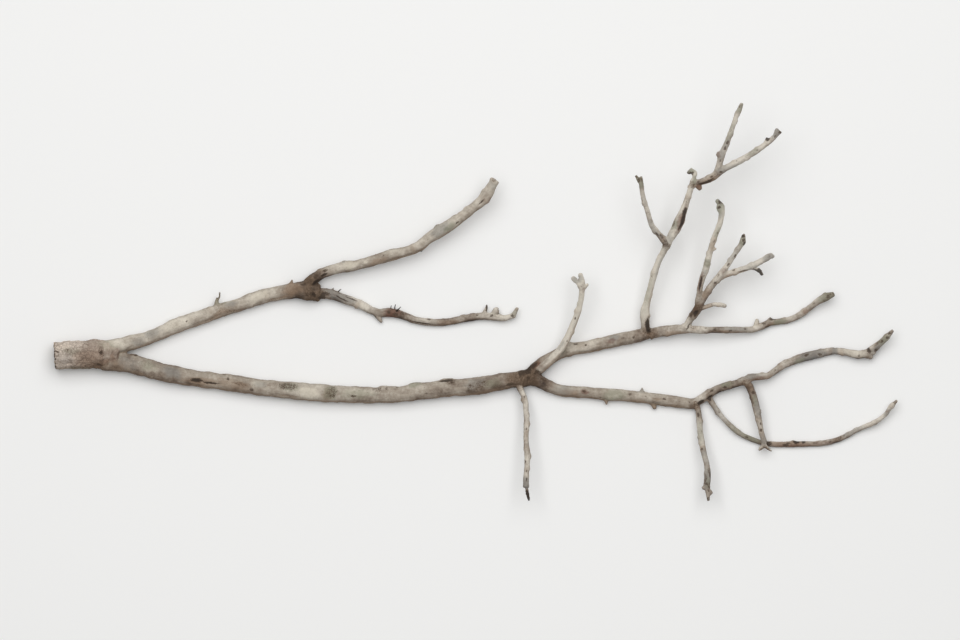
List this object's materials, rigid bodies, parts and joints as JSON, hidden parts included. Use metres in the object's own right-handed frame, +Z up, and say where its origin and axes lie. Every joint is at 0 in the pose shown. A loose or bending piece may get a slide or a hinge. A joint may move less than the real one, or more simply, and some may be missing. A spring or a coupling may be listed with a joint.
{
  "type": "fallen tree branch",
  "caption": "Weathered leafless tree branch that forks into crooked limbs and thin twigs and lies flat, for set dressing or display.",
  "frame": {"origin": "under the middle of the branch's box, on the surface that the branch lies on", "axes": "+X from the sawn butt towards the tips, +Y towards the upper limb's side, +Z up"},
  "size_m": [1.1018, 0.5192, 0.0921],
  "materials": {
    "butt_bark": "rough crazed bark, pale brown, with a sawn end",
    "limb_bark": "matt weathered bark, grey cream with brown and grey green patches",
    "twig_bark": "matt weathered twig bark, grey with dark scars and buds",
    "shoot_bark": "matt pale cream bark"
  },
  "bodies": {
    "root": {"butt": "butt_bark", "upper_limb": "limb_bark", "upper_spur": "limb_bark", "upper_twig": "twig_bark", "lower_limb": "limb_bark", "drop_twig": "twig_bark", "middle_limb": "limb_bark", "crossing_twig": "shoot_bark", "middle_limb_end": "twig_bark", "tall_shoot": "shoot_bark", "tall_shoot_left_twig": "twig_bark", "tall_shoot_right_branch": "twig_bark", "tall_shoot_top_twig": "twig_bark", "second_shoot_base": "twig_bark", "second_shoot_long": "shoot_bark", "second_shoot_right": "twig_bark", "second_shoot_side": "twig_bark", "second_shoot_spur": "twig_bark", "right_limb": "limb_bark", "right_limb_end": "twig_bark", "hanging_twig": "twig_bark", "sweeping_twig": "twig_bark", "right_crossing_twig": "twig_bark"}
  },
  "joints": []
}
